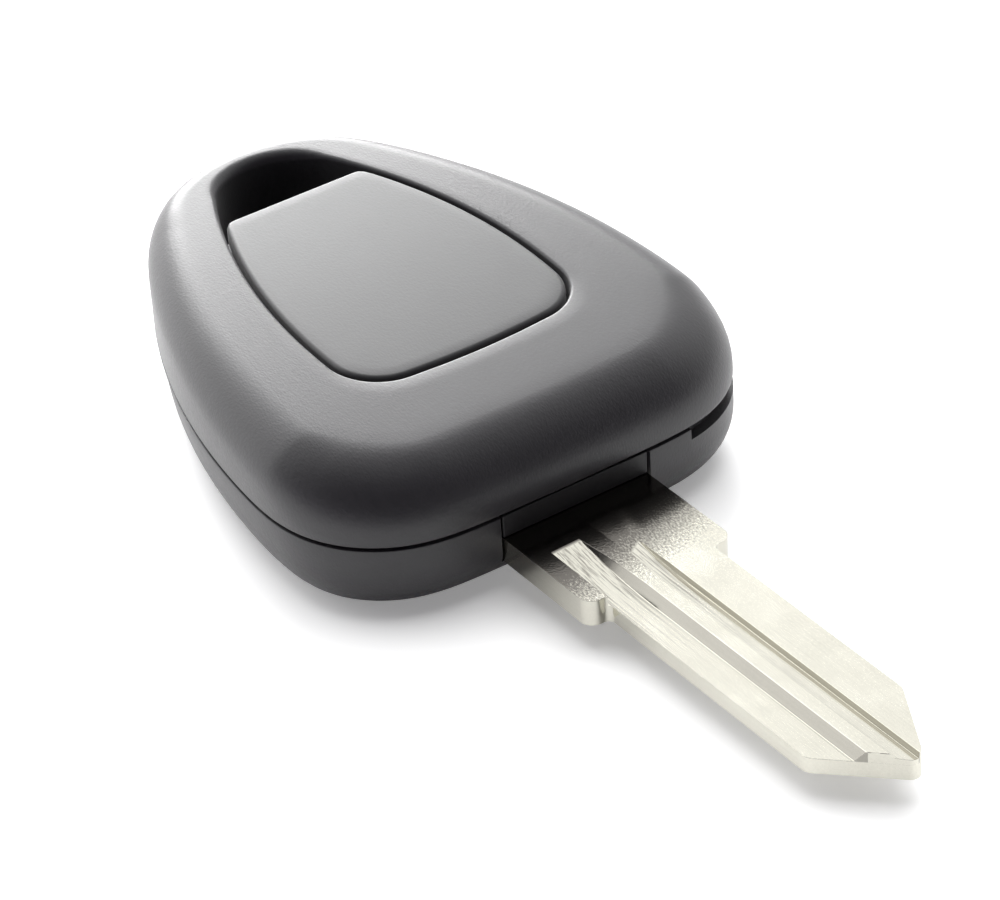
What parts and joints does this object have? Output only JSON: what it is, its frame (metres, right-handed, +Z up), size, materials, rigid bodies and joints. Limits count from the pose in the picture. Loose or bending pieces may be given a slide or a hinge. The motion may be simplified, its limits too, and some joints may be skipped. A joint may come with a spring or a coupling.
{
  "type": "key fob shell",
  "caption": "Remote car key: teardrop plastic head of two snapped shells with one large push button, a key-ring hole behind it and a plain double-sided blade.",
  "frame": {"origin": "under the middle of the whole key, on the plane of the flat underside that it rests on", "axes": "+X along the blade to its tip, +Y to the left seen from the head, +Z up through the button"},
  "size_m": [0.078, 0.0366, 0.0129],
  "materials": {
    "shell_plastic": "spark-eroded satin, charcoal",
    "button_plastic": "finer satin, charcoal",
    "blade_nickel": "bright nickel plating over brass, milled grooves",
    "clamp_plastic": "smooth moulded",
    "screw_steel": "zinc plated",
    "board_laminate": "green lacquer",
    "switch_plastic": "moulded",
    "tinned_steel": "tinned",
    "plunger_plastic": "moulded",
    "spring_steel": "bright rolled",
    "boot_rubber": "matt silicone",
    "chip_epoxy": "moulded epoxy",
    "resonator_lid": "gold plated",
    "coil_copper": "enamelled copper",
    "resistor_ceramic": "glazed black with tinned ends",
    "capacitor_ceramic": "tan with tinned ends",
    "loop_copper": "tin-flashed copper",
    "cell_steel": "satin nickel",
    "contact_steel": "bright rolled",
    "pad_foam": "closed-cell foam",
    "capsule_glass": "clear, with a wound core inside"
  },
  "bodies": {
    "key": {"upper_shell": "shell_plastic", "lower_shell": "shell_plastic", "key_blade": "blade_nickel", "blade_clamp": "clamp_plastic", "clamp_screws": "screw_steel", "circuit_board": "board_laminate", "switch_housing": "switch_plastic", "switch_frame": "tinned_steel", "switch_dome": "spring_steel", "switch_boot": "boot_rubber", "controller_chip": "chip_epoxy", "radio_resonator": "resonator_lid", "wound_coil": "coil_copper", "transistor": "chip_epoxy", "chip_resistors": "resistor_ceramic", "chip_capacitors": "capacitor_ceramic", "antenna_loop": "loop_copper", "coin_cell": "cell_steel", "negative_contact": "contact_steel", "positive_clip": "contact_steel", "cell_pad": "pad_foam", "transponder_capsule": "capsule_glass"},
    "button": {"push_button": "button_plastic"},
    "plunger": {"switch_plunger": "plunger_plastic"}
  },
  "joints": [
    {"name": "button_press", "type": "slide", "parent": "key", "child": "button", "axis": [0, 0, -1], "range_m": [0, 0.0005], "stiffness_N_per_m": 3000, "deforming": ["switch_boot"]},
    {"name": "plunger_press", "type": "slide", "parent": "key", "child": "plunger", "axis": [0, 0, -1], "range_m": [0, 0.00025], "deforming": ["switch_dome"]}
  ],
  "couplings": [
    {"joint": "plunger_press", "follows": "button_press", "ratio": 0.5}
  ]
}
